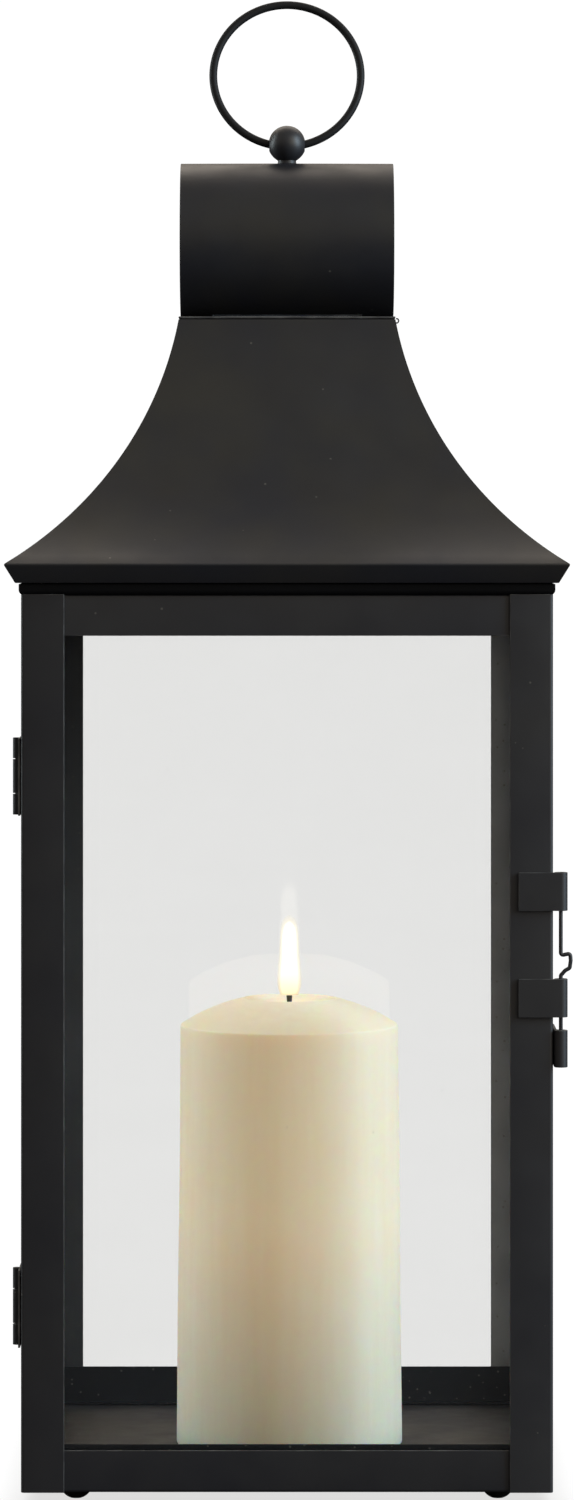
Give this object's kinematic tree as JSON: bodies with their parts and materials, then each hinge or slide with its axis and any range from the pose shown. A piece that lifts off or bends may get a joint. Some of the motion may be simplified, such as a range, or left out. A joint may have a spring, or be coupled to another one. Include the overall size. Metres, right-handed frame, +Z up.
{
  "type": "hurricane candle lantern",
  "caption": "Square glazed lantern with a concave roof, rolled chimney, ring handle, hinged door with a drop-pin latch, and a flameless pillar candle inside.",
  "frame": {"origin": "under the middle of the lantern, level with the bottoms of its feet", "axes": "+Z up; the door faces -Y, hinges on the -X side, latch on the +X side"},
  "size_m": [0.1837, 0.1828, 0.4943],
  "materials": {
    "black_paint": "satin black paint on sheet steel",
    "clear_glass": "clear float glass, slightly grey",
    "black_rubber": "moulded black rubber",
    "plated_steel": "zinc plated",
    "ivory_wax": "smooth ivory wax, slightly translucent",
    "white_plastic": "moulded plastic",
    "black_plastic": "moulded plastic",
    "battery_jacket": "printed metal jacket, plain",
    "flame_glow": "translucent, lit from inside"
  },
  "bodies": {
    "lantern": {"chimney": "black_paint", "finial": "black_paint", "finial_nut": "plated_steel", "floor_plate": "black_paint", "foot_front_left": "black_rubber", "foot_front_right": "black_rubber", "foot_rear_left": "black_rubber", "foot_rear_right": "black_rubber", "hinge_lower_body_leaf": "black_paint", "hinge_lower_pin": "black_paint", "hinge_upper_body_leaf": "black_paint", "hinge_upper_pin": "black_paint", "latch_keeper": "black_paint", "left_bottom_rail": "black_paint", "left_glass": "clear_glass", "left_retainer": "black_paint", "left_top_rail": "black_paint", "post_front_left": "black_paint", "post_front_right": "black_paint", "post_rear_left": "black_paint", "post_rear_right": "black_paint", "rear_bottom_rail": "black_paint", "rear_glass": "clear_glass", "rear_retainer": "black_paint", "rear_top_rail": "black_paint", "right_bottom_rail": "black_paint", "right_glass": "clear_glass", "right_retainer": "black_paint", "right_top_rail": "black_paint", "roof_cap": "black_paint", "roof_panel_front": "black_paint", "roof_panel_left": "black_paint", "roof_panel_rear": "black_paint", "roof_panel_right": "black_paint", "vent_plate": "black_paint"},
    "door": {"door_bottom_rail": "black_paint", "door_glass": "clear_glass", "door_retainer": "black_paint", "door_stile_left": "black_paint", "door_stile_right": "black_paint", "door_top_rail": "black_paint", "hinge_lower_door_leaf": "black_paint", "hinge_upper_door_leaf": "black_paint", "latch_strap_lower": "black_paint", "latch_strap_upper": "black_paint"},
    "latch_pin": {"latch_pin": "black_paint"},
    "ring": {"ring_handle": "black_paint"},
    "candle": {"battery_left": "battery_jacket", "battery_right": "battery_jacket", "candle_battery_cup": "white_plastic", "candle_flame": "flame_glow", "candle_led": "flame_glow", "candle_wax": "ivory_wax", "candle_wick": "black_plastic"},
    "switch": {"candle_switch": "black_plastic"},
    "battery_cover": {"candle_battery_cover": "white_plastic"}
  },
  "joints": [
    {"name": "door_hinge", "type": "hinge", "parent": "lantern", "child": "door", "pos_m": [-0.08765, -0.077, 0.1496], "axis": [0, 0, -1], "range_deg": [0, 180]},
    {"name": "latch_pin_lift", "type": "slide", "parent": "door", "child": "latch_pin", "axis": [0, 0, 1], "range_m": [0, 0.0125]},
    {"name": "ring_swing", "type": "hinge", "parent": "lantern", "child": "ring", "pos_m": [0, 0, 0.44465], "axis": [1, 0, 0], "range_deg": [-107, 133]},
    {"name": "candle_lift", "type": "slide", "parent": "lantern", "child": "candle", "axis": [0, 0, 1], "range_m": [0, 0.1]},
    {"name": "switch_slide", "type": "slide", "parent": "candle", "child": "switch", "axis": [1, 0, 0], "range_m": [0, 0.004]},
    {"name": "battery_cover_twist", "type": "hinge", "parent": "candle", "child": "battery_cover", "pos_m": [0.0008, 0, 0.0078], "axis": [0, 0, -1], "range_deg": [0, 25]}
  ]
}
